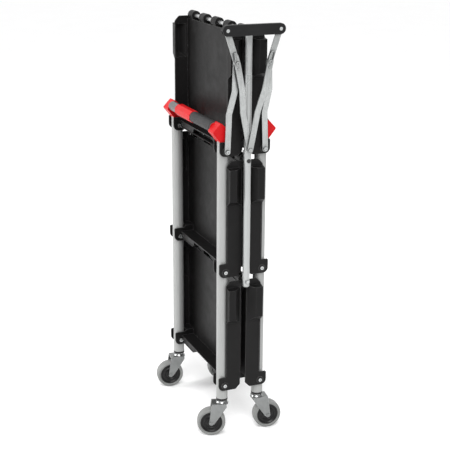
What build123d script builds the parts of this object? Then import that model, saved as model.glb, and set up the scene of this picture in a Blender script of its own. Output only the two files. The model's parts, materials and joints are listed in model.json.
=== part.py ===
from build123d import *
import math
import os

# Folding three-tray service cart, folded up, in millimetres.
# The origin is on the floor, midway between the four legs. Folded, the two leg frames stand
# close together at X = -LEG_X and X = +LEG_X, and each tray is two halves, back to back at
# X = 0, hinged at their upper edge. +Y points to the far end, +Z is up.

# ---- driving dimensions ----
LEG_X = 50.0  # leg axis from the centre plane, folded
LEG_Y = 161.0  # leg axis from the middle of the cart
TUBE_R = 15.0  # leg tube
TUBE_WALL = 1.5
TUBE_BOTTOM = 106.5
FIT = 0.05  # radial play of a pin that turns in its hole
LOOSE = 0.4  # radial play at a pivot that closes a linkage

PIVOT_Z = {"bottom": 146.0, "middle": 458.5, "top": 771.0}
HALF = 289.0  # tray pivot to centre hinge, along a half
BOLT_R = 4.0  # tray pivot bolt

FLOOR_X = 7.5  # underside of a tray half from the centre plane
SKIN = 4.0  # tray floor thickness
WALL = 3.0  # tray wall thickness
RIM_X = 48.0  # tray rim from the centre plane
WALL_Y = 181.0  # outer face of a tray's side wall
HINGE_EDGE = 280.0  # upper edge of a half's floor, above its pivot
WALL_TOP = 287.0  # top of a side wall, above its pivot
END_LOW, END_HIGH = -4.0, 14.0  # the end wall's two faces, above the pivot
POST_Y = 141.0  # inner ear and corner post, inner face
EAR_DROP = 13.5  # ears below the pivot
EAR_OUT = 17.0  # ears beyond the pivot
BULGE_Y = 198.0  # outer face of a side bulge

BARREL_R = 12.5  # hinge barrels
BARREL_LEN = 15.0
BARREL_Y = (160.0, 80.0, 0.0, -80.0, -160.0)
ROD_R = 5.0  # hinge rod
ROD_END = 177.5  # its head, between the far side walls

STRUT_Y = -195.0  # centre strut, outside the near side walls
STRUT_R = 9.0
STRUT_WALL = 1.5
STRUT_TOP = PIVOT_Z["top"] + 299.5
STRUT_BOTTOM = PIVOT_Z["bottom"] + 274.0
CROSSBAR_Z = PIVOT_Z["top"] + 295.0
CROSSBAR_LEN = 161.0
CROSSBAR_H = 26.0
CROSSBAR_Y = (-217.0, -228.5)  # back and front faces
CROSSBAR_PIN_X = 67.5
PIN_R = 3.5  # linkage rivets
KNEE = (42.2, PIVOT_Z["top"] + 219.0)  # where the three links of a side meet
GUIDE_Z = PIVOT_Z["top"] + 5.3  # sliding pin on the strut, folded
GUIDE_TRAVEL = 25.9
STRAP_W = 15.0
STRAP_T = 3.0

HANDLE_X = 67.5
HANDLE_Z = PIVOT_Z["top"] + 54.0
BAR_R = 12.6  # grey handle bar, bare at its far end
BAR_WALL = 2.0
GRIP_R = 14.2
BAND_R = 16.2  # corners of the eight-sided band
BAND_Y = (-14.0, 90.0)
CORNER_Y = (145.0, 177.2)  # handle corner, inner and outer faces
LEG_TOP = PIVOT_Z["top"] + 38.0

WHEEL_R = 37.5
WHEEL_W = 27.0
HUB_R = 29.0
TRAIL = 28.0  # caster axle behind its stem
FORK_HALF = WHEEL_W / 2 + 3.5
FORK_TOP = 92.0
RACE_TOP = 97.0  # caster race, below the collar
FERRULE_H = 6.0
# degrees from +X that each wheel trails, as the cart stands
CASTER_TURN = {"left_near": 161.0, "left_far": 172.5, "right_near": -6.5, "right_far": -6.5}

written = []


# ---- helpers ----
def block(x, y, z):
    """A box from three (low, high) pairs."""
    size = [abs(high - low) for low, high in (x, y, z)]
    middle = [(high + low) / 2 for low, high in (x, y, z)]
    return Pos(*middle) * Box(*size)


def pin(x, z, y, radius):
    """A cylinder along Y between two Y values."""
    return Pos(x, sum(y) / 2, z) * Rot(90, 0, 0) * Cylinder(radius, abs(y[1] - y[0]))


def post(x, y, z, radius):
    """A cylinder along Z between two heights."""
    return Pos(x, y, sum(z) / 2) * Cylinder(radius, abs(z[1] - z[0]))


def plate(corners, y):
    """A plate across Y; each corner is (x, z) or (x, z, rounding)."""
    points = [corner[:2] for corner in corners]
    radii = [corner[2] if len(corner) > 2 else 0 for corner in corners]
    facing = Plane(origin=(0, max(y), 0), x_dir=(1, 0, 0), z_dir=(0, -1, 0))
    outline = FilletPolyline(*points, radius=radii, close=True)
    return extrude(facing * make_face(outline), abs(y[1] - y[0]))


def wedge(near, far):
    """A solid between two (x, z, y) rectangles: x and z are (low, high) pairs, y one value."""
    faces = []
    for x, z, y in (near, far):
        facing = Plane(origin=(sum(x) / 2, y, sum(z) / 2), x_dir=(1, 0, 0), z_dir=(0, -1, 0))
        faces.append(facing * Rectangle(x[1] - x[0], z[1] - z[0]))
    return loft(faces, ruled=True)


def side_view(shape, side):
    """The shape itself on the right, and its mirror image on the left."""
    return shape if side == "right" else mirror(shape, about=Plane.YZ)


def save(name, shape):
    """Writes one sub-part to its own STEP file."""
    solids = shape.solids()
    whole = solids[0] if len(solids) == 1 else Compound(children=list(solids))
    export_step(whole, f"parts/{name}.step")
    written.append(name)


# ---- trays ----
def wall_outline():
    """A side wall with its ear, seen along Y: the ear reaches past the pivot bolt."""
    ear = LEG_X + EAR_OUT
    return [
        (FLOOR_X, WALL_TOP),
        (36, WALL_TOP, 8),
        (RIM_X, 274, 10),
        (RIM_X, 23, 3),
        (ear, 23, 4),
        (ear, -EAR_DROP, 14),
        (20, -EAR_DROP, 4),
        (FLOOR_X, -1, 3),
    ]


def inner_ear_outline():
    """The inner ear of a corner, which joins the end wall and the corner post."""
    ear = LEG_X + EAR_OUT
    return [
        (FLOOR_X, 30),
        (34, 30, 2),
        (40, 23, 2),
        (ear, 23, 4),
        (ear, -EAR_DROP, 14),
        (40, -EAR_DROP, 6),
        (28, END_LOW),
        (FLOOR_X, END_LOW),
    ]


def bulge(inset):
    """The outward bulge of a side wall, on the +Y side; an inset gives the hollow in it."""
    base_x = (9.5 + inset, 48.5 - inset)
    crown_x = (28 + 0.7 * inset, 47 - inset)
    base = (base_x, (172.5 + inset, 270 - inset), WALL_Y - 1 - 2 * inset)
    crown = (crown_x, (187 + 0.7 * inset, 267.5 - inset), BULGE_Y - inset)
    return wedge(base, crown)


def side_wall():
    """A +Y side wall with its ear, bulge and rim bead."""
    wall = plate(wall_outline(), (WALL_Y - WALL, WALL_Y))
    wall += bulge(0)
    hollow = bulge(WALL)
    bead = block((RIM_X - 2.5, RIM_X), (WALL_Y - 0.5, WALL_Y + 1.2), (26, 176))
    ring = pin(LEG_X, 0, (WALL_Y - 1, WALL_Y + 1), 9.5) - pin(LEG_X, 0, (WALL_Y - 2, WALL_Y + 2), 7.5)
    return wall - hollow + bead + ring


def corner():
    """The +Y corner of a half: inner ear, and the post that closes the tray beside the leg."""
    ear = plate(inner_ear_outline(), (POST_Y, POST_Y + WALL + 0.5))
    box = block((FLOOR_X, 34), (POST_Y, WALL_Y - 2), (17, 30))
    box -= block((0, 31), (POST_Y + WALL, WALL_Y - 5), (20, 27))
    return ear + box


def end_wall():
    """The hollow wall beside the leg frame, stiffened by ribs."""
    wall = block((FLOOR_X, RIM_X), (-POST_Y - 1, POST_Y + 1), (END_LOW, END_HIGH))
    cells = 6
    pitch = 2 * (POST_Y - WALL) / cells
    for cell in range(cells):
        low = -POST_Y + WALL + cell * pitch
        wall -= block((0, 27), (low + 1.2, low + pitch - 1.2), (END_LOW + 3, END_HIGH - 3))
    for end in (-1, 1):
        wall -= pin(LEG_X, 0, (end * (POST_Y - 9), end * (POST_Y + 2)), 9)
    return wall


def grip_recess(floor_z):
    """The finger recess in the end wall's rim, wider at its lower edge."""
    outline = [(56, floor_z), (41, 11), (-78, 12), (-95, 6), (-97, floor_z)]
    facing = Plane(origin=(31, 0, 0), x_dir=(0, 1, 0), z_dir=(1, 0, 0))
    return extrude(facing * make_face(FilletPolyline(*outline, radius=[0, 3, 6, 6, 0], close=True)), 30)


def barrel_span(side, y):
    """A half's own barrel at one knuckle; the two halves take one side of it each."""
    gap = 0.2
    return (y + gap, y + BARREL_LEN) if side == "right" else (y - BARREL_LEN, y - gap)


def under_ribs():
    """Stiffening ribs under the floor."""
    depth = (FLOOR_X - 3, FLOOR_X + 1)
    ribs = block(depth, (-150, 150), (240, 242.5))
    for z in (60, 120, 180):
        ribs += block(depth, (-150, 150), (z, z + 2.5))
    for y in (-150, -75, 0, 75, 150):
        ribs += block(depth, (y - 1.25, y + 1.25), (32, 255))
    return ribs


def tray_half(level, side):
    """One tray half, built on the right with its pivot at z = 0, then placed."""
    tray = block((FLOOR_X, FLOOR_X + SKIN), (-WALL_Y + 2, WALL_Y - 2), (END_LOW, HINGE_EDGE))
    for end in (-1, 1):
        tray -= block((0, 60), (end * (POST_Y + 1), end * 200), (-20, 17))
    for end in (side_wall() + corner(), mirror(side_wall() + corner(), about=Plane.XZ)):
        tray += end
    tray += end_wall() + under_ribs()
    tray -= grip_recess(END_LOW + 1.8 if level == "top" else END_LOW - 2)
    other = "left" if side == "right" else "right"
    for y in BARREL_Y:
        own, opposite = barrel_span(side, y), barrel_span(other, y)
        gusset = [(FLOOR_X + SKIN, 250), (FLOOR_X, 250), (2, 278), (2, HALF), (FLOOR_X + SKIN, HALF)]
        tray += pin(0, HALF, own, BARREL_R) + plate(gusset, own)
        tray -= pin(0, HALF, (opposite[0] - 0.6, opposite[1] + 0.6), BARREL_R + 1)
        tray += pin(0, HALF, own, BARREL_R)
    tray -= pin(0, HALF, (-178, 178), ROD_R + FIT)
    closing = side == "right" and level != "top"
    tray -= pin(LEG_X, 0, (-200, 200), BOLT_R + (LOOSE if closing else FIT))
    return Pos(0, 0, PIVOT_Z[level]) * side_view(tray, side)


def hinge_rod(level):
    """The steel rod through a tray's barrels; its near end reaches the strut."""
    z = PIVOT_Z[level] + HALF
    near = STRUT_Y + STRUT_R + 0.6
    rod = pin(0, z, (near, ROD_END), ROD_R)
    return rod + pin(0, z, (ROD_END - 1.8, ROD_END), ROD_R + 1.5)


def tray_catch():
    """Small steel lever and its rivet in the top left tray's grip recess."""
    z = PIVOT_Z["top"] + 4
    lever = block((-34.5, -31), (-82, -44), (z - 1.5, z + 1.5)) + pin(-33, z, (-84, -80), 1.9)
    rivet = Pos(-33, 7, z) * Rot(0, 90, 0) * Cylinder(3.6, 4)
    return Compound(children=[*lever.solids(), *rivet.solids()])


# ---- leg frames ----
def leg(end):
    """A leg tube on the right frame, drilled for its three pivot bolts."""
    y = end * LEG_Y
    tube = post(LEG_X, y, (TUBE_BOTTOM, LEG_TOP), TUBE_R)
    tube -= post(LEG_X, y, (90, 900), TUBE_R - TUBE_WALL)
    for z in PIVOT_Z.values():
        tube -= pin(LEG_X, z, (y - 20, y + 20), BOLT_R)
    return tube


def pivot_bolts(end):
    """The three bolts of one leg; the near top one also carries an outer link."""
    bolts = []
    for level, z in PIVOT_Z.items():
        reach = 33.0 if (level == "top" and end < 0) else WALL_Y - LEG_Y + 2.5
        inner = LEG_Y - POST_Y + 2.0
        shank = pin(LEG_X, z, (end * (LEG_Y - inner), end * (LEG_Y + reach)), BOLT_R)
        heads = pin(LEG_X, z, (end * (LEG_Y - inner), end * (POST_Y - 0.3)), 6)
        seat = reach - (3.4 if reach > 30 else 2.2)
        heads += pin(LEG_X, z, (end * (LEG_Y + seat), end * (LEG_Y + reach)), 4.8)
        socket = pin(LEG_X, z, (end * (LEG_Y + reach - 1), end * (LEG_Y + reach + 1)), 2.2)
        socket += pin(LEG_X, z, (end * (LEG_Y - inner - 1), end * (LEG_Y - inner + 1)), 2.2)
        bolts.append(shank + heads - socket)
    return bolts


def handle_corner(end):
    """A six-sided cap on a leg top, with a spigot that holds one end of the handle bar."""
    low = PIVOT_Z["top"]
    inside = LEG_X - TUBE_R - 1.3
    beside_post = LEG_X - TUBE_R + 0.3
    outline = [
        (beside_post, low + 16.5),
        (60, low + 16.5, 4),
        (84.5, low + 46.5, 4.5),
        (62.5, low + 70, 4),
        (inside, low + 44, 3),
        (inside, low + 31.2),
        (beside_post, low + 31.2),
    ]
    cap = plate(outline, (end * CORNER_Y[0], end * CORNER_Y[1]))
    cap -= post(LEG_X, end * LEG_Y, (low - 50, LEG_TOP), TUBE_R + FIT)
    spigot = pin(HANDLE_X, HANDLE_Z, (end * (CORNER_Y[0] - 14), end * CORNER_Y[0]), BAR_R - BAR_WALL - FIT)
    return cap + spigot


def handle_bar():
    """The tube between the two corners, over their spigots."""
    reach = CORNER_Y[0] - 0.1
    bar = pin(HANDLE_X, HANDLE_Z, (-reach, reach), BAR_R)
    return bar - pin(HANDLE_X, HANDLE_Z, (-200, 200), BAR_R - BAR_WALL)


def handle_grip():
    """Dark sleeve from the near corner to the band, with a ring groove near each end."""
    span = (-CORNER_Y[0] + 1, BAND_Y[0])
    sleeve = pin(HANDLE_X, HANDLE_Z, span, GRIP_R) - pin(HANDLE_X, HANDLE_Z, (-200, 200), BAR_R + FIT)
    for groove in (span[0] + 5, span[1] - 6):
        ring = pin(HANDLE_X, HANDLE_Z, (groove, groove + 1), GRIP_R + 1)
        sleeve -= ring - pin(HANDLE_X, HANDLE_Z, (groove - 1, groove + 2), GRIP_R - 0.5)
    return sleeve


def handle_band():
    """Eight-sided red sleeve on the middle of the bar."""
    facing = Plane(origin=(HANDLE_X, BAND_Y[1], HANDLE_Z), x_dir=(1, 0, 0), z_dir=(0, -1, 0))
    outline = Rot(0, 0, 22.5) * RegularPolygon(BAND_R, 8)
    sleeve = extrude(facing * outline, BAND_Y[1] - BAND_Y[0])
    return sleeve - pin(HANDLE_X, HANDLE_Z, (-200, 200), BAR_R + FIT)


def ferrule(end):
    """Black plug in a leg's lower end, whose collar shows as a ring."""
    y = end * LEG_Y
    plug = post(LEG_X, y, (TUBE_BOTTOM - FERRULE_H, TUBE_BOTTOM), TUBE_R + 0.3)
    plug += post(LEG_X, y, (TUBE_BOTTOM, TUBE_BOTTOM + 26), TUBE_R - TUBE_WALL)
    return plug - post(LEG_X, y, (TUBE_BOTTOM - 10, TUBE_BOTTOM + 30), 6)


def caster_stem(end):
    """Chrome collar, upper race and kingpin of one caster."""
    y = end * LEG_Y
    stem = post(LEG_X, y, (FORK_TOP - 7, TUBE_BOTTOM + 24), 6)
    stem += post(LEG_X, y, (FORK_TOP - 9, FORK_TOP - 6), 8.5)
    stem += post(LEG_X, y, (RACE_TOP, TUBE_BOTTOM - FERRULE_H), 12.5)
    stem += Pos(LEG_X, y, RACE_TOP - 2.1) * Cone(16, 13.5, 4.2)
    return stem


# ---- casters, built with the stem at the origin and the wheel trailing to +X ----
def caster_fork():
    """Pressed fork: a top plate folded down into two tapering arms."""
    half, top, sheet = FORK_HALF, FORK_TOP, 2.5
    plan = post(0, 0, (top - 3.5, top), half) + block((0, TRAIL - 1), (-half, half), (top - 3.5, top))
    fork = plan + post(0, 0, (top - 1, top + 0.6), 12.5)
    arm = [
        (-12, top),
        (TRAIL - 1, top),
        (TRAIL + 6, WHEEL_R, 5.9),
        (TRAIL - 6.5, WHEEL_R - 4, 5.9),
        (-12, top - 9, 3),
    ]
    for end in (-1, 1):
        fork += plate(arm, (end * (half - sheet), end * half))
        fork += pin(TRAIL, WHEEL_R, (end * (half - sheet), end * half), 6.2)
        fork -= block((-30, -12), (end * (half - sheet), end * (half + 5)), (0, top - 3.5))
    fork -= post(0, 0, (top - 14, top + 8), 6 + FIT)
    return fork - pin(TRAIL, WHEEL_R, (-half - 1, half + 1), PIN_R)


def caster_axle():
    """Axle across the fork, with a head on each side."""
    reach = FORK_HALF + 1.6
    axle = pin(TRAIL, WHEEL_R, (-reach, reach), PIN_R)
    for end in (-1, 1):
        axle += pin(TRAIL, WHEEL_R, (end * FORK_HALF, end * reach), 4.6)
    return axle


def turned(profile):
    """Revolves a (radius, width) outline about the wheel's axle line."""
    spin = Plane(origin=(TRAIL, 0, WHEEL_R), x_dir=(0, 0, 1), z_dir=(1, 0, 0))
    radii = [point[2] if len(point) > 2 else 0 for point in profile]
    outline = FilletPolyline(*[point[:2] for point in profile], radius=radii, close=True)
    axis = Axis((TRAIL, 0, WHEEL_R), (0, 1, 0))
    return revolve(spin * make_face(outline), axis)


def tyre():
    """Grey tread ring with rounded shoulders and a step beside the hub."""
    half = WHEEL_W / 2
    step = half - 2
    profile = [
        (HUB_R, -step),
        (HUB_R + 1, -step, 0.6),
        (HUB_R + 2, -half, 0.8),
        (WHEEL_R, -half, 5),
        (WHEEL_R, half, 5),
        (HUB_R + 2, half, 0.8),
        (HUB_R + 1, step, 0.6),
        (HUB_R, step),
    ]
    return turned(profile)


def hub():
    """Black wheel centre: a web with raised rings and a bearing boss."""
    half = WHEEL_W / 2 - 2
    rings = [
        (PIN_R + FIT, half + 2.4),
        (8, half + 2.4, 1),
        (9.5, half - 3),
        (14.5, half - 3),
        (15, half - 1.2, 0.5),
        (17.5, half - 1.2, 0.5),
        (18, half - 3.5),
        (HUB_R - 4, half - 3.5),
        (HUB_R - 3, half, 0.6),
        (HUB_R - 0.02, half),
    ]
    below = [(point[0], -point[1], *point[2:]) for point in reversed(rings)]
    return turned(rings + below)


def placed_caster(shape, side, name):
    """Stands a caster piece under its leg, turned as it stands there."""
    across = LEG_X if side == "right" else -LEG_X
    along = -LEG_Y if name == "near" else LEG_Y
    return Pos(across, along, 0) * Rot(0, 0, CASTER_TURN[f"{side}_{name}"]) * shape


# ---- centre strut and crossbar ----
def strut():
    """Tube with a closed round lower end, a slot for the guide pin and holes at the hinges."""
    tube = post(0, STRUT_Y, (STRUT_BOTTOM, STRUT_TOP), STRUT_R)
    tube = fillet(tube.edges().group_by(Axis.Z)[0], 4)
    tube -= post(0, STRUT_Y, (STRUT_BOTTOM + 3, STRUT_TOP + 1), STRUT_R - STRUT_WALL)
    front = (STRUT_Y - 12, STRUT_Y)
    tube -= block((-4.2, 4.2), front, (GUIDE_Z - 5, GUIDE_Z + GUIDE_TRAVEL + 5))
    for z in fastener_heights():
        tube -= pin(0, z, (STRUT_Y - 12, STRUT_Y + 12), BOLT_R)
    top = PIVOT_Z["top"] + HALF
    tube -= pin(0, top, (STRUT_Y - 12, STRUT_Y + 12), ROD_R)
    return tube


def fastener_heights():
    """Where the strut is bolted: at the middle and the bottom tray's hinge."""
    return (PIVOT_Z["middle"] + HALF, PIVOT_Z["bottom"] + HALF)


def strut_bolt(z, radius, proud):
    """Bolt across the strut at one hinge, seated on the tube."""
    back, seat = STRUT_Y + STRUT_R - 2.2, STRUT_Y - STRUT_R
    head = pin(0, z, (seat - proud, seat + 3), radius)
    head += pin(0, z, (seat - proud - 1.2, seat), radius - 1.6)
    head -= post(0, STRUT_Y, (z - 10, z + 10), STRUT_R + 0.02)
    return head + pin(0, z, (seat - proud, back), BOLT_R)


def strut_studs():
    """Spacer behind the crossbar, the lowest bolt, and two small side rivets."""
    top = PIVOT_Z["top"] + HALF
    spacer = pin(0, top, (CROSSBAR_Y[0], STRUT_Y - STRUT_R + 3), 7.5)
    spacer -= post(0, STRUT_Y, (top - 12, top + 12), STRUT_R + 0.02)
    studs = [spacer, strut_bolt(fastener_heights()[1], 6, 1)]
    for level in ("top", "middle"):
        studs.append(Pos(-STRUT_R - 1.1, STRUT_Y, PIVOT_Z[level]) * Rot(0, 90, 0) * Cylinder(3, 2.2))
    return studs


def crossbar():
    """Round-ended bar, open underneath so that the upper links swing inside it."""
    back, front = CROSSBAR_Y
    facing = Plane(origin=(0, back, CROSSBAR_Z), x_dir=(1, 0, 0), z_dir=(0, -1, 0))
    bar = extrude(facing * SlotOverall(CROSSBAR_LEN, CROSSBAR_H), back - front)
    groove = Plane(origin=(0, back - 2.5, CROSSBAR_Z), x_dir=(1, 0, 0), z_dir=(0, -1, 0))
    hollow = extrude(groove * SlotOverall(CROSSBAR_LEN - 5, CROSSBAR_H - 5), back - front - 5)
    slot_y = (back - 2.5, front + 2.5)
    middle = CROSSBAR_LEN / 2 - 32
    bar -= hollow + block((-CROSSBAR_LEN, CROSSBAR_LEN), slot_y, (CROSSBAR_Z - 20, CROSSBAR_Z))
    bar += block((-middle, middle), slot_y, (CROSSBAR_Z - CROSSBAR_H / 2 + 2, CROSSBAR_Z + 4))
    for x in (-CROSSBAR_PIN_X, CROSSBAR_PIN_X):
        bar -= pin(x, CROSSBAR_Z, (back + 1, front - 1), PIN_R)
    return bar


def crossbar_pins():
    """The two rivets that carry the upper links."""
    back, front = CROSSBAR_Y
    pins = []
    for x in (-CROSSBAR_PIN_X, CROSSBAR_PIN_X):
        pins.append(pin(x, CROSSBAR_Z, (back, front), PIN_R) + pin(x, CROSSBAR_Z, (front, front - 1), 4.4))
    return pins


# ---- links, built for the right side ----
def strap(start, end, layers, bends=None):
    """A flat strap between two (x, z) centres with round ends. layers are the front faces at its
    start and end, as distances outside the leg plane; bends are where the face steps across."""
    run, drop = end[0] - start[0], end[1] - start[1]
    length = math.hypot(run, drop)
    reach, first, last = STRAP_W, -(LEG_Y + layers[0]), -(LEG_Y + layers[-1])
    a, b = bends or (length / 3, length / 2)
    front = [(-reach, first), (a, first), (b, last), (length + reach, last)]
    back = [(t, y + STRAP_T) for t, y in reversed(front)]
    across = Plane(origin=(-STRAP_W / 2, 0, 0), x_dir=(0, 0, -1), z_dir=(1, 0, 0))
    body = extrude(across * make_face(Polyline(*front, *back, close=True)), STRAP_W)
    facing = Plane(origin=(0, -400, -length / 2), x_dir=(0, 0, 1), z_dir=(0, 1, 0))
    body &= extrude(facing * SlotOverall(length + STRAP_W, STRAP_W), 400)
    turn = math.degrees(math.atan2(-run, -drop))
    return Pos(start[0], 0, start[1]) * Rot(0, turn, 0) * body


def layer_y(*distances):
    """Y values of distances outside the near leg plane."""
    return tuple(-(LEG_Y + distance) for distance in distances)


def upper_link():
    start = (CROSSBAR_PIN_X, CROSSBAR_Z)
    link = strap(start, KNEE, (63, 63))
    link -= pin(*start, layer_y(50, 80), PIN_R + FIT)
    return link - pin(*KNEE, layer_y(50, 80), PIN_R)


def outer_link():
    """From the knee down to the tray pivot, with its own rivet at the knee."""
    pivot = (LEG_X, PIVOT_Z["top"])
    link = strap(KNEE, pivot, (59, 29), bends=(66, 128))
    link -= pin(*pivot, layer_y(10, 40), BOLT_R + FIT)
    return link + pin(*KNEE, layer_y(54.4, 56.5), 5)


def inner_link(side):
    """From the knee down to the strut, with a stop tab above the knee and its own end rivet."""
    layer = 47.2 if side == "left" else 51.0
    pivot = (0, GUIDE_Z)
    link = strap(KNEE, pivot, (67, layer), bends=(64, 124))
    run, drop = pivot[0] - KNEE[0], pivot[1] - KNEE[1]
    turn = math.degrees(math.atan2(-run, -drop))
    tab = plate([(-7.3, -2), (7.3, -2), (5.2, 25, 1.5), (-1, 27, 1.5), (-5, 18, 3)], layer_y(64, 67))
    tab += block((3.4, 5.2), layer_y(64, 70.5), (6, 23))
    link += Pos(KNEE[0], 0, KNEE[1]) * Rot(0, turn, 0) * tab
    link -= pin(*KNEE, layer_y(50, 80), PIN_R + FIT)
    unit = (run / math.hypot(run, drop), drop / math.hypot(run, drop))
    second = (KNEE[0] + 13 * unit[0], KNEE[1] + 13 * unit[1])
    link += pin(*second, layer_y(66.5, 68.4), 3)
    if side == "right":
        link += pin(*pivot, layer_y(layer - 0.5, layer + 2), 5)
    return link


def knee_rivet():
    """Rivet through the upper and inner links, free of the outer link behind them."""
    rivet = pin(*KNEE, layer_y(59.7, 69.5), PIN_R)
    rivet += pin(*KNEE, layer_y(67.2, 70.0), 5)
    return rivet - pin(*KNEE, layer_y(69, 71), 2)


def guide_pin():
    """Shoe that slides inside the strut, with a stub in the strut's slot."""
    shoe = post(0, STRUT_Y, (GUIDE_Z - 9, GUIDE_Z + 9), STRUT_R - STRUT_WALL - 0.35)
    return shoe + pin(0, GUIDE_Z, (STRUT_Y, STRUT_Y - STRUT_R - 0.4), 3.7)


# ---- write every sub-part ----
os.makedirs("parts", exist_ok=True)

for level in PIVOT_Z:
    save(f"{level}_hinge_rod", hinge_rod(level))
    for side in ("left", "right"):
        save(f"{level}_{side}_tray", tray_half(level, side))
save("top_tray_catch", tray_catch())

caster = {"fork": caster_fork(), "axle": caster_axle(), "tyre": tyre(), "hub": hub()}
for side in ("left", "right"):
    for name, end in (("near", -1), ("far", 1)):
        save(f"{side}_{name}_leg", side_view(leg(end), side))
        save(f"{side}_{name}_corner", side_view(handle_corner(end), side))
    bolts = pivot_bolts(-1) + pivot_bolts(1)
    save(f"{side}_pivot_bolts", side_view(Compound(children=bolts), side))
    save(f"{side}_ferrules", side_view(Compound(children=[ferrule(-1), ferrule(1)]), side))
    save(f"{side}_caster_stems", side_view(Compound(children=[caster_stem(-1), caster_stem(1)]), side))
    save(f"{side}_handle_bar", side_view(handle_bar(), side))
    save(f"{side}_handle_grip", side_view(handle_grip(), side))
    save(f"{side}_handle_band", side_view(handle_band(), side))
    for name in ("near", "far"):
        for piece, shape in caster.items():
            save(f"{side}_{name}_caster_{piece}", placed_caster(shape, side, name))

save("strut", strut())
save("strut_bolts", strut_bolt(fastener_heights()[0], 5.2, 0.3))
save("strut_studs", Compound(children=strut_studs() + crossbar_pins()))
save("crossbar", crossbar())
save("guide_pin", guide_pin())
for side in ("left", "right"):
    save(f"{side}_upper_link", side_view(upper_link(), side))
    save(f"{side}_outer_link", side_view(outer_link(), side))
    save(f"{side}_inner_link", side_view(inner_link(side), side))
    save(f"{side}_knee_rivet", side_view(knee_rivet(), side))

print(len(written), "sub-parts")
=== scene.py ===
import json
import math
import bmesh
import bpy
from mathutils import Matrix, Vector


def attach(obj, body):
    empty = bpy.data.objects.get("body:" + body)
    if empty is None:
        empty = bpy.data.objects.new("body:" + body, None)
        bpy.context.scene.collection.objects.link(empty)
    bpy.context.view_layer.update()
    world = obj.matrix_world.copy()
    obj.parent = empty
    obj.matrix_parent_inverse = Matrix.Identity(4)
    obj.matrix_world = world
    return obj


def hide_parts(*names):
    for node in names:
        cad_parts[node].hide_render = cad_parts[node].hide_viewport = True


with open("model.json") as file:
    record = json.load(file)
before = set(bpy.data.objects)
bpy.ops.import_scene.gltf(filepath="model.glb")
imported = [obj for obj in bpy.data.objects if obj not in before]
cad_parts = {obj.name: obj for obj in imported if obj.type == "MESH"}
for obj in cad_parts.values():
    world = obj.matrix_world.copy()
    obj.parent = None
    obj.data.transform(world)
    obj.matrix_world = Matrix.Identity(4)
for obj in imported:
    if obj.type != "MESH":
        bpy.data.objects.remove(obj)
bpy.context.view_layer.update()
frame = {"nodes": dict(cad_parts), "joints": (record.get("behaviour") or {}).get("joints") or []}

# Folding three-tray service cart, folded up. Metres, +Y to the far end, +Z up.

MM = 0.001


# ---------------------------------------------------------------- materials
def times(factor, tone):
    """A tone made lighter or darker."""
    return tuple(factor * part for part in tone)


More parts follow.
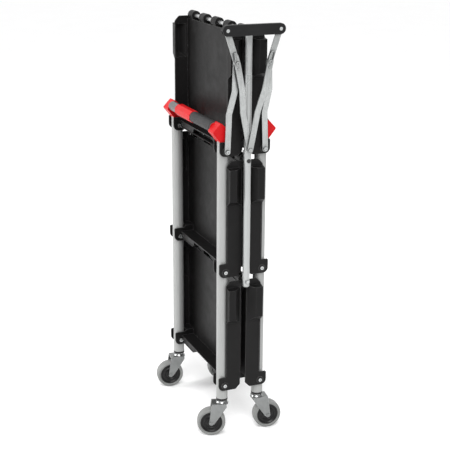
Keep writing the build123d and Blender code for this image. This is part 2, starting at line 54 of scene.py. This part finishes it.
class Look:
    """A procedural material: a Principled shader and short ways to add detail to it."""

    def __init__(self, name, **fixed):
        self.material = bpy.data.materials.new(name)
        self.material.use_nodes = True
        self.tree = self.material.node_tree
        self.shader = self.tree.nodes["Principled BSDF"]
        for socket, value in fixed.items():
            self.shader.inputs[socket.replace("_", " ")].default_value = value
        self.place = self.node("ShaderNodeTexCoord").outputs["Object"]
        self.normal = None

    def node(self, kind, settings=None, **inputs):
        """Adds a shader node: settings are its properties, inputs its sockets by name."""
        made = self.tree.nodes.new(kind)
        for name, value in (settings or {}).items():
            setattr(made, name, value)
        for name, value in inputs.items():
            self.feed(made.inputs[name.replace("_", " ")], value)
        return made

    def feed(self, socket, value):
        """Links another node's output to a socket, or sets the socket to a value."""
        if isinstance(value, bpy.types.NodeSocket):
            self.tree.links.new(value, socket)
        else:
            socket.default_value = value

    def stretched(self, scale):
        """Object coordinates scaled along each axis."""
        return self.node("ShaderNodeMapping", Vector=self.place, Scale=scale).outputs[0]

    def noise(self, scale, detail=3.0, where=None):
        """Cloudy noise, with about scale features to the metre."""
        made = self.node("ShaderNodeTexNoise", Vector=where or self.place, Scale=scale, Detail=detail)
        made.inputs["Roughness"].default_value = 0.55
        return made.outputs["Fac"]

    def cells(self, scale):
        """Cell pattern, with about scale cells to the metre."""
        made = self.node("ShaderNodeTexVoronoi", Vector=self.place, Scale=scale)
        return made.outputs["Distance"]

    def span(self, value, low, high, start=0.3, end=0.7):
        """Maps a texture value between start and end onto low..high, and keeps it in there."""
        made = self.node("ShaderNodeMapRange", Value=value)
        for name, number in (("From Min", start), ("From Max", end), ("To Min", low), ("To Max", high)):
            made.inputs[name].default_value = number
        return made.outputs[0]

    def blend(self, factor, first, second):
        """Mixes two colours, from the first at 0 to the second at 1."""
        made = self.node("ShaderNodeMix", {"data_type": "RGBA", "blend_type": "MIX"})
        for socket, value in ((made.inputs[0], factor), (made.inputs[6], first), (made.inputs[7], second)):
            if isinstance(value, tuple) and len(value) == 3:
                value = (*value, 1.0)
            self.feed(socket, value)
        return made.outputs[2]

    def edges(self, radius, low=0.02):
        """1 on outer and inner edges, 0 elsewhere."""
        high = 0.16
        rounded = self.node("ShaderNodeBevel", {"samples": 8}, Radius=radius).outputs[0]
        plain = self.node("ShaderNodeNewGeometry").outputs["Normal"]
        across = self.node("ShaderNodeVectorMath", {"operation": "DOT_PRODUCT"})
        self.feed(across.inputs[0], rounded)
        self.feed(across.inputs[1], plain)
        return self.span(across.outputs["Value"], 1.0, 0.0, 1.0 - high, 1.0 - low)

    def shade(self, reach):
        """1 in the open, towards 0 close to another surface."""
        open_sky = self.node("ShaderNodeAmbientOcclusion", {"samples": 6}, Distance=reach)
        return self.span(open_sky.outputs["AO"], 0.0, 1.0, 0.4, 0.98)

    def product(self, first, second):
        """Two values multiplied."""
        made = self.node("ShaderNodeMath", {"operation": "MULTIPLY"})
        self.feed(made.inputs[0], first)
        self.feed(made.inputs[1], second)
        return made.outputs[0]

    def colour(self, value):
        self.feed(self.shader.inputs["Base Color"], value)

    def roughness(self, value):
        self.feed(self.shader.inputs["Roughness"], value)

    def bump(self, height, distance, strength):
        """Adds relief of the given depth on top of any relief before it."""
        made = self.node("ShaderNodeBump", Height=height, Distance=distance, Strength=strength)
        if self.normal is not None:
            self.feed(made.inputs["Normal"], self.normal)
        self.normal = made.outputs[0]
        self.feed(self.shader.inputs["Normal"], self.normal)


def moulded_black(name):
    """Injection-moulded polypropylene: fine spark grain, faint flow marks, pale edges that are partly
    rubbed wear and partly painted highlight.
    """
    tone = (0.0058, 0.0055, 0.0055)
    look = Look(name, IOR=1.5, Specular_IOR_Level=0.17)
    flow = look.noise(9.0, 4.0, look.stretched((1.0, 1.0, 0.35)))
    spark = look.noise(950.0, 2.0)
    body = look.blend(look.span(flow, 0.0, 1.0), times(0.86, tone), times(1.16, tone))
    speck = look.span(spark, 0.0, 1.0, 0.42, 0.72)
    body = look.blend(look.product(speck, 0.35), body, times(1.9, tone))
    # Pale edges: partly rubbed wear, partly a painted highlight where light would catch the edges.
    wear_and_highlight = look.product(look.edges(1.2 * MM), look.span(look.noise(60.0), 0.25, 0.8))
    look.colour(look.blend(wear_and_highlight, body, (0.19, 0.188, 0.188)))
    look.roughness(look.span(look.noise(34.0, 4.0), 0.37, 0.52))
    look.bump(spark, 0.09 * MM, 0.8)
    look.bump(look.noise(26.0, 3.0), 0.25 * MM, 0.25)
    return look.material


def painted_tube(name, tone, rough=0.34, metal=0.25):
    """Satin grey tube: fine drawn lines along Z and a little handling haze."""
    look = Look(name, Metallic=metal)
    drawn = look.noise(1.0, 4.0, look.stretched((900.0, 900.0, 9.0)))
    haze = look.noise(14.0, 4.0)
    body = look.blend(look.span(drawn, 0.0, 1.0), times(0.93, tone), times(1.04, tone))
    handled = look.product(look.span(haze, 0.0, 1.0, 0.35, 0.75), 0.25)
    body = look.blend(handled, body, times(0.84, tone))
    look.colour(body)
    look.roughness(look.span(haze, rough - 0.04, rough + 0.1))
    look.bump(drawn, 0.03 * MM, 0.5)
    look.bump(look.noise(1400.0, 2.0), 0.02 * MM, 0.35)
    return look.material


def zinc_plate(name, tone=(0.44, 0.453, 0.449), rough=0.27):
    """Bright zinc over rolled steel: long rolling streaks, spangle, and painted shade on the rims and in
    crevices.
    """
    look = Look(name, Metallic=0.85)
    rolled = look.noise(1.0, 5.0, look.stretched((380.0, 380.0, 14.0)))
    spangle = look.cells(210.0)
    body = look.blend(look.span(rolled, 0.0, 1.0), times(0.84, tone), times(1.1, tone))
    body = look.blend(look.span(spangle, 0.0, 0.1, 0.0, 0.8), body, (0.56, 0.575, 0.57))
    dull = look.noise(45.0, 4.0)
    clouded = look.product(look.span(dull, 0.0, 1.0, 0.5, 0.75), 0.25)
    body = look.blend(clouded, body, times(0.68, tone))
    # Painted shade: the colour darkens close to another surface, as between overlapping plates.
    body = look.blend(look.shade(9.0 * MM), times(0.22, tone), body)
    # Painted shade: the rims are darkened as if turned away from the light.
    painted_rim_shade = look.product(look.edges(1.5 * MM, 0.04), 0.8)
    look.colour(look.blend(painted_rim_shade, body, times(0.25, tone)))
    look.roughness(look.span(dull, rough - 0.07, rough + 0.14))
    look.bump(rolled, 0.03 * MM, 0.3)
    look.bump(look.noise(650.0, 3.0), 0.02 * MM, 0.15)
    return look.material


def red_plastic(name):
    """Glossy red moulding with a fine grain and paler ridges, partly rubbed wear and partly painted
    highlight.
    """
    look = Look(name, IOR=1.5, Specular_IOR_Level=0.16)
    flow = look.noise(18.0, 3.0)
    body = look.blend(look.span(flow, 0.0, 1.0), (0.46, 0.006, 0.008), (0.56, 0.009, 0.012))
    # Paler edges: partly rubbed wear, partly a painted highlight where light would catch the ridges.
    wear_and_highlight = look.product(look.edges(1.4 * MM), look.span(look.noise(70.0), 0.3, 0.9))
    look.colour(look.blend(wear_and_highlight, body, (0.72, 0.045, 0.045)))
    look.roughness(look.span(look.noise(40.0, 4.0), 0.3, 0.42))
    look.bump(look.noise(1300.0, 2.0), 0.05 * MM, 0.6)
    look.bump(look.noise(30.0), 0.2 * MM, 0.2)
    return look.material


def soft_grip(name):
    """Dark elastomer sleeve with a matte pebbled skin."""
    look = Look(name, IOR=1.45, Specular_IOR_Level=0.35)
    pebble = look.cells(1100.0)
    cloud = look.noise(22.0, 4.0)
    body = look.blend(look.span(cloud, 0.0, 1.0), (0.021, 0.021, 0.022), (0.033, 0.033, 0.034))
    # Painted highlight: the edges are lightened.
    look.colour(look.blend(look.product(look.edges(1.0 * MM), 0.5), body, (0.10, 0.10, 0.10)))
    look.roughness(look.span(look.noise(50.0, 3.0), 0.5, 0.66))
    look.bump(pebble, 0.06 * MM, 0.7)
    return look.material


def rubber_tread(name):
    """Non-marking grey rubber with dust in its pores."""
    look = Look(name, IOR=1.45)
    dust = look.noise(38.0, 5.0)
    body = look.blend(look.span(dust, 0.0, 1.0), (0.175, 0.179, 0.175), (0.235, 0.239, 0.232))
    speck = look.span(look.noise(520.0, 2.0), 0.0, 0.4, 0.52, 0.7)
    body = look.blend(speck, body, (0.14, 0.14, 0.137))
    # Painted highlight: the edges are lightened.
    look.colour(look.blend(look.product(look.edges(0.9 * MM), 0.5), body, (0.32, 0.325, 0.318)))
    look.roughness(look.span(dust, 0.48, 0.66))
    look.bump(look.noise(900.0, 3.0), 0.05 * MM, 0.6)
    return look.material


def chrome(name):
    """Nickel-chrome with light smudges, hairline scratches and painted shade in crevices."""
    tone = (0.50, 0.51, 0.51)
    look = Look(name, Metallic=1.0)
    smudge = look.noise(60.0, 4.0)
    body = look.blend(look.span(smudge, 0.0, 1.0), tone, times(0.88, tone))
    # Painted shade: the colour darkens close to another surface.
    look.colour(look.blend(look.shade(7.0 * MM), times(0.12, tone), body))
    look.roughness(look.span(smudge, 0.16, 0.3))
    look.bump(look.noise(1.0, 3.0, look.stretched((1600.0, 200.0, 700.0))), 0.01 * MM, 0.4)
    return look.material


def satin_steel(name):
    """Tumbled, zinc-plated pressed steel, as on the caster forks."""
    tone = (0.238, 0.245, 0.243)
    look = Look(name, Metallic=0.8)
    cloud = look.noise(48.0, 5.0)
    body = look.blend(look.span(cloud, 0.0, 1.0), times(0.86, tone), times(1.12, tone))
    # Painted highlight: the edges are lightened nearly to white.
    look.colour(look.blend(look.product(look.edges(0.8 * MM), 0.7), body, (0.82, 0.83, 0.83)))
    look.roughness(look.span(cloud, 0.28, 0.42))
    look.bump(look.noise(1500.0, 3.0), 0.03 * MM, 0.6)
    look.bump(look.noise(120.0, 2.0), 0.06 * MM, 0.25)
    return look.material


def glossy_black(name, tone=(0.006, 0.006, 0.0063), rough=0.24):
    """Smooth black parts with a low shine: ferrules, wheel centres and black bolts."""
    look = Look(name, IOR=1.5, Specular_IOR_Level=0.3)
    cloud = look.noise(44.0, 4.0)
    body = look.blend(look.span(cloud, 0.0, 1.0), tone, times(1.7, tone))
    # Painted highlight: the edges are lightened to grey.
    look.colour(look.blend(look.product(look.edges(0.8 * MM), 0.55), body, (0.09, 0.09, 0.09)))
    look.roughness(look.span(cloud, rough, rough + 0.14))
    look.bump(look.noise(900.0, 2.0), 0.02 * MM, 0.5)
    return look.material


def coated_bar(name):
    """Black powder coat on the crossbar: orange-peel skin, and edges lightened as a painted highlight."""
    look = Look(name, IOR=1.5, Specular_IOR_Level=0.22)
    peel = look.noise(480.0, 2.0)
    cloud = look.noise(20.0, 4.0)
    body = look.blend(look.span(cloud, 0.0, 1.0), (0.008, 0.008, 0.0083), (0.013, 0.013, 0.0133))
    # Painted highlight: the edges are lightened.
    look.colour(look.blend(look.product(look.edges(1.3 * MM), 0.7), body, (0.16, 0.16, 0.163)))
    look.roughness(look.span(cloud, 0.36, 0.5))
    look.bump(peel, 0.05 * MM, 0.5)
    return look.material


def nylon(name):
    """Pale natural nylon, slightly cloudy."""
    look = Look(name, IOR=1.5)
    cloud = look.noise(70.0, 3.0)
    look.colour(look.blend(look.span(cloud, 0.0, 1.0), (0.42, 0.42, 0.40), (0.52, 0.52, 0.50)))
    look.roughness(look.span(cloud, 0.35, 0.5))
    look.bump(look.noise(800.0, 2.0), 0.03 * MM, 0.5)
    return look.material


# The look of each material slot in the record, by the slot's name.
LOOKS = {
    "tray_black": moulded_black("tray moulding"),
    "steel_rod": zinc_plate("hinge rod steel", (0.66, 0.67, 0.67), rough=0.22),
    "zinc": zinc_plate("zinc links"),
    "leg_grey": painted_tube("leg tube", (0.335, 0.34, 0.335)),
    "red_plastic": red_plastic("red moulding"),
    "bolt_zinc": zinc_plate("bolt steel", (0.56, 0.575, 0.575), rough=0.2),
    "bolt_black": glossy_black("black bolt", (0.02, 0.02, 0.02), 0.3),
    "ferrule_black": glossy_black("leg ferrule"),
    "chrome_plate": chrome("caster chrome"),
    "bar_grey": painted_tube("handle bar", (0.122, 0.122, 0.121)),
    "grip_dark": soft_grip("grip elastomer"),
    "fork_satin": satin_steel("fork steel"),
    "tyre_grey": rubber_tread("grey tread"),
    "hub_black": glossy_black("wheel centre", (0.006, 0.006, 0.006), 0.3),
    "crossbar_black": coated_bar("crossbar coat"),
    "guide_nylon": nylon("guide shoe"),
}

# The centre strut shares the links' slot, but is a drawn tube with a duller plating.
STRUT_LOOK = painted_tube("strut tube", (0.44, 0.452, 0.448), 0.28, 0.6)


# ---------------------------------------------------------------- mesh helpers
SMOOTH_BELOW = math.radians(34.0)  # edges of new meshes flatter than this are shaded smooth


def link_object(name, data):
    """Puts an object in the scene."""
    made = bpy.data.objects.new(name, data)
    bpy.context.scene.collection.objects.link(made)
    return made


def new_piece(name, mesh_data, body, slot, replaced):
    """Links a mesh as a piece that rides on a CAD body and stands for a CAD node."""
    made = link_object(name, mesh_data)
    mesh_data.materials.append(LOOKS[slot])
    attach(made, body)
    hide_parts(replaced)


def to_mesh(name, bm):
    """Turns a bmesh into a mesh, smooth except across real edges."""
    bmesh.ops.recalc_face_normals(bm, faces=bm.faces)
    made = bpy.data.meshes.new(name)
    bm.to_mesh(made)
    bm.free()
    made.shade_smooth()
    made.set_sharp_from_angle(angle=SMOOTH_BELOW)
    return made


def smoothing_group():
    """Node group that drops imported normals and shades smooth up to an edge angle."""
    group = bpy.data.node_groups.new("smooth_to_angle", "GeometryNodeTree")
    group.interface.new_socket("Geometry", in_out="INPUT", socket_type="NodeSocketGeometry")
    group.interface.new_socket("Angle", in_out="INPUT", socket_type="NodeSocketFloat")
    group.interface.new_socket("Geometry", in_out="OUTPUT", socket_type="NodeSocketGeometry")
    source, result = group.nodes.new("NodeGroupInput"), group.nodes.new("NodeGroupOutput")
    clear = group.nodes.new("GeometryNodeRemoveAttribute")
    clear.inputs["Name"].default_value = "custom_normal"
    faces = group.nodes.new("GeometryNodeSetShadeSmooth")
    edges = group.nodes.new("GeometryNodeSetShadeSmooth")
    edges.domain = "EDGE"
    angle = group.nodes.new("GeometryNodeInputMeshEdgeAngle")
    within = group.nodes.new("FunctionNodeCompare")
    within.operation = "LESS_THAN"
    link = group.links.new
    link(source.outputs["Geometry"], clear.inputs["Geometry"])
    link(clear.outputs["Geometry"], faces.inputs["Geometry"])
    link(faces.outputs["Geometry"], edges.inputs["Geometry"])
    link(angle.outputs["Unsigned Angle"], within.inputs["A"])
    link(source.outputs["Angle"], within.inputs["B"])
    link(within.outputs["Result"], edges.inputs["Shade Smooth"])
    link(edges.outputs["Geometry"], result.inputs["Geometry"])
    return group


SMOOTHING = smoothing_group()
WELD_DISTANCE = 0.001 * MM
FLAT_ANGLE = math.radians(0.4)  # facets that meet at less than this are one face
EDGE_ANGLE = math.radians(38.0)  # edges sharper than this are rounded off
SMOOTH_ANGLE = math.radians(40.0)  # edges of CAD nodes flatter than this are shaded smooth


def soften(piece, width, segments):
    """Rounds the edges of a piece: merges flat facets, bevels real edges, shades the result."""
    weld = piece.modifiers.new("weld", "WELD")
    weld.merge_threshold = WELD_DISTANCE
    flat = piece.modifiers.new("flat", "DECIMATE")
    flat.decimate_type = "DISSOLVE"
    flat.angle_limit = FLAT_ANGLE
    if width:
        round_off = piece.modifiers.new("round", "BEVEL")
        round_off.width = width
        round_off.segments = segments
        round_off.limit_method = "ANGLE"
        round_off.angle_limit = EDGE_ANGLE
        round_off.use_clamp_overlap = True
        round_off.miter_outer = "MITER_ARC"
    shading = piece.modifiers.new("shading", "NODES")
    shading.node_group = SMOOTHING
    shading["Socket_1"] = SMOOTH_ANGLE  # the group's Angle input
    weighted = piece.modifiers.new("weighted", "WEIGHTED_NORMAL")
    weighted.keep_sharp = True


# ---------------------------------------------------------------- carried-over CAD nodes
# How far the edges of each material's parts are rounded off. Tyres and hubs are replaced below.
BEVELS = {
    "tray_black": 0.6 * MM,
    "steel_rod": 0.5 * MM,
    "zinc": 0.45 * MM,
    "leg_grey": 0.4 * MM,
    "red_plastic": 1.6 * MM,
    "bolt_zinc": 0.4 * MM,
    "bolt_black": 0.4 * MM,
    "ferrule_black": 0.5 * MM,
    "chrome_plate": 0.6 * MM,
    "bar_grey": 0.4 * MM,
    "grip_dark": 0.4 * MM,
    "fork_satin": 0.8 * MM,
    "tyre_grey": 0.0,
    "hub_black": 0.0,
    "crossbar_black": 0.9 * MM,
    "guide_nylon": 0.3 * MM,
}
CORNER_BEVEL = 3.2 * MM  # on the handle corners, which are moulded rounder than their bands


def dress_node(name):
    """Gives a CAD node its finished material and softened edges."""
    node = frame["nodes"][name]
    slot = node.data.materials[0].name
    node.material_slots[0].link = "OBJECT"
    node.material_slots[0].material = STRUT_LOOK if name == "strut" else LOOKS[slot]
    width = CORNER_BEVEL if name.endswith("_corner") else BEVELS[slot]
    soften(node, width, segments=3 if slot == "red_plastic" else 2)


for cad_name in sorted(frame["nodes"]):
    dress_node(cad_name)


# ---------------------------------------------------------------- wheels
# Half outlines of the wheels in millimetres: (radius, distance from the wheel's middle plane).
# The tyre's runs from the wheel centre outwards, and its crown is completed in tyre_outline.
RIM_RADIUS = 29.0
RIM_SIDE = 11.4
TYRE_WALL = [
    (RIM_RADIUS, RIM_SIDE),
    (30.1, RIM_SIDE),
    (30.7, 11.9),
    (31.2, 13.0),
    (32.0, 13.4),
    (34.0, 13.3),
    (35.5, 12.5),
]
# Each (depth below the tread's crown, distance from the middle plane), with a fine mould line last.
TYRE_CROWN = [(0.9, 10.9), (0.4, 8.6), (0.15, 5.0), (0.12, 0.7), (0.0, 0.35)]
# The wheel centre: a boss round the axle, a raised ring in the middle of the web, and the rim.
CENTRE_OUTLINE = [
    (3.6, 13.8),
    (6.6, 13.8),
    (7.4, 13.2),
    (7.9, 9.6),
    (8.8, 8.7),
    (12.5, 8.3),
    (14.0, 8.6),
    (15.2, 9.8),
    (16.4, 10.4),
    (17.6, 10.0),
    (18.8, 8.6),
    (20.5, 7.8),
    (23.0, 7.9),
    (24.6, 8.8),
    (25.6, 10.6),
    (26.4, RIM_SIDE),
    (28.9, RIM_SIDE),
]
TYRE_STEPS = 128
CENTRE_STEPS = 96


def joint_at(name):
    """Where a joint stands and its axis, from the record."""
    found = next(joint for joint in frame["joints"] if joint["name"] == name)
    return Vector(found["pos_m"]), Vector(found["axis"]).normalized()


def tyre_outline(radius):
    """The tyre's half outline for a wheel of this radius in millimetres."""
    return TYRE_WALL + [(radius - depth, width) for depth, width in TYRE_CROWN]


def both_sides(half_outline):
    """Completes an outline whose points run from the bore outwards on the +Y side."""
    return half_outline + [(r, -w) for r, w in reversed(half_outline)]


def turn_round(outline, segments):
    """Turns a closed (radius, across) outline in millimetres about the Y axis."""
    bm = bmesh.new()
    rings = []
    for step in range(segments):
        angle = 2.0 * math.pi * step / segments
        across, up = math.sin(angle), math.cos(angle)
        rings.append([bm.verts.new((r * across * MM, w * MM, r * up * MM)) for r, w in outline])
    for step in range(segments):
        here, there = rings[step], rings[(step + 1) % segments]
        for k in range(len(outline)):
            nxt = (k + 1) % len(outline)
            bm.faces.new((here[k], here[nxt], there[nxt], there[k]))
    return bm


def wheel(caster):
    """Tyre and centre of one wheel, about its axle."""
    centre, axis = joint_at(caster + "_wheel_spin")
    swing = math.atan2(-axis.x, axis.y)
    place = Matrix.Translation(centre) @ Matrix.Rotation(swing, 4, "Z")
    radius = centre.z / MM  # the wheel stands on the floor

    def turned(part, outline, segments, name, slot, replaced):
        bm = turn_round(both_sides(outline), segments)
        bm.transform(place)
        mesh_data = to_mesh(caster + part, bm)
        new_piece(caster + name, mesh_data, caster + "_wheel", slot, caster + replaced)

    turned("_tyre", tyre_outline(radius), TYRE_STEPS, "_tyre_moulding", "tyre_grey", "_caster_tyre")
    turned("_hub", CENTRE_OUTLINE, CENTRE_STEPS, "_wheel_centre", "hub_black", "_caster_hub")


for cart_side in ("left", "right"):
    for cart_end in ("near", "far"):
        wheel(cart_side + "_" + cart_end)


# ---------------------------------------------------------------- camera
LENS = 84.5
SENSOR_WIDTH = 36.0
FAR_CLIP = 200.0
CAMERA_PLACE = Vector((-1.0216, -2.4761, 1.3674))
TOWARDS_CAMERA = Vector((-0.3712, -0.8789, 0.2997))
CAMERA_UP = Vector((0.1114, 0.2782, 0.954))


def set_camera():
    """The view of the photo: from the near left, slightly above."""
    camera_data = bpy.data.cameras.new("camera")
    camera_data.lens = LENS
    camera_data.sensor_width = SENSOR_WIDTH
    camera_data.clip_end = FAR_CLIP
    camera = link_object("camera", camera_data)
    back = TOWARDS_CAMERA.normalized()
    right = CAMERA_UP.cross(back).normalized()
    up = back.cross(right)
    turn = Matrix((right, up, back)).transposed()
    camera.matrix_world = Matrix.Translation(CAMERA_PLACE) @ turn.to_4x4()
    bpy.context.scene.camera = camera


# ---------------------------------------------------------------- floor and light
FLOOR_HALF = 60.0
PAPER_WHITE = 1.06  # the backdrop as the camera sees it
SKY_DARK, SKY_DARK_AT = (0.22, 0.22, 0.225, 1), 0.12
SKY_LIGHT, SKY_LIGHT_AT = (1, 1, 1, 1), 0.95
SKY_LEAN = (-0.1, 0.42, 0.3)  # the way in which the sky gets lighter
SKY_MIDDLE = 0.5
SKY_STRENGTH = 0.95

# Each lamp: name, place, target, width and height, watts.
LAMPS = [
    ("high front", (-0.9, -2.5, 3.2), (0.0, 0.0, 0.7), (1.8, 1.4), 55.0),
    ("left", (-2.9, 1.3, 1.7), (0.0, 0.0, 0.8), (1.2, 1.8), 58.0),
    ("rim", (2.4, 1.2, 1.6), (0.0, 0.0, 0.6), (0.7, 1.8), 22.0),
]
TOWARDS_SUN = Vector((-0.25, -0.6, 0.76))
SUN_STRENGTH = 1.5
SUN_SPREAD = math.radians(40.0)


def lay_floor():
    """A wide sheet of white paper under the cart."""
    bm = bmesh.new()
    bmesh.ops.create_grid(bm, x_segments=4, y_segments=4, size=FLOOR_HALF)
    floor = link_object("floor", to_mesh("floor", bm))
    paper = Look("floor paper", Specular_IOR_Level=0.1)
    paper.colour(paper.blend(paper.noise(3.0), (0.90, 0.90, 0.90), (0.93, 0.93, 0.93)))
    paper.roughness(paper.span(paper.noise(5.0), 0.8, 0.95))
    floor.data.materials.append(paper.material)


def light_sky():
    """Lights the cart by a soft gradient, and shows the camera plain white."""
    world = bpy.data.worlds.new("studio")
    bpy.context.scene.world = world
    world.use_nodes = True
    tree = world.node_tree
    sky = tree.nodes["Background"]
    sky.inputs["Strength"].default_value = SKY_STRENGTH
    where = tree.nodes.new("ShaderNodeTexCoord")
    lean = tree.nodes.new("ShaderNodeVectorMath")
    lean.operation = "DOT_PRODUCT"
    lean.inputs[1].default_value = SKY_LEAN
    shift = tree.nodes.new("ShaderNodeMath")
    shift.operation = "ADD"
    shift.inputs[1].default_value = SKY_MIDDLE
    ramp = tree.nodes.new("ShaderNodeValToRGB")
    dark, light = ramp.color_ramp.elements
    dark.position, dark.color = SKY_DARK_AT, SKY_DARK
    light.position, light.color = SKY_LIGHT_AT, SKY_LIGHT
    eye = tree.nodes.new("ShaderNodeLightPath")
    seen = tree.nodes.new("ShaderNodeMix")
    seen.data_type = "RGBA"
    seen.inputs[7].default_value = (PAPER_WHITE, PAPER_WHITE, PAPER_WHITE, 1)
    link = tree.links.new
    link(where.outputs["Generated"], lean.inputs[0])
    link(lean.outputs["Value"], shift.inputs[0])
    link(shift.outputs[0], ramp.inputs[0])
    link(eye.outputs["Is Camera Ray"], seen.inputs[0])
    link(ramp.outputs[0], seen.inputs[6])
    link(seen.outputs[2], sky.inputs["Color"])


def hang_lamp(name, place, target, size, watts):
    """A rectangular lamp that points at its target."""
    light = bpy.data.lights.new(name, "AREA")
    light.shape = "RECTANGLE"
    light.size, light.size_y = size
    light.energy = watts
    lamp = link_object(name, light)
    lamp.location = place
    lamp.rotation_euler = (Vector(target) - Vector(place)).to_track_quat("-Z", "Y").to_euler()


def add_sun():
    """A very soft sun over the near left side."""
    sun_data = bpy.data.lights.new("sky light", "SUN")
    sun_data.energy = SUN_STRENGTH
    sun_data.angle = SUN_SPREAD
    sun = link_object("sky light", sun_data)
    sun.rotation_euler = TOWARDS_SUN.to_track_quat("Z", "Y").to_euler()


set_camera()
lay_floor()
light_sky()
for lamp_row in LAMPS:
    hang_lamp(*lamp_row)
add_sun()
bpy.context.scene.view_settings.view_transform = "Standard"
bpy.context.scene.view_settings.look = "None"
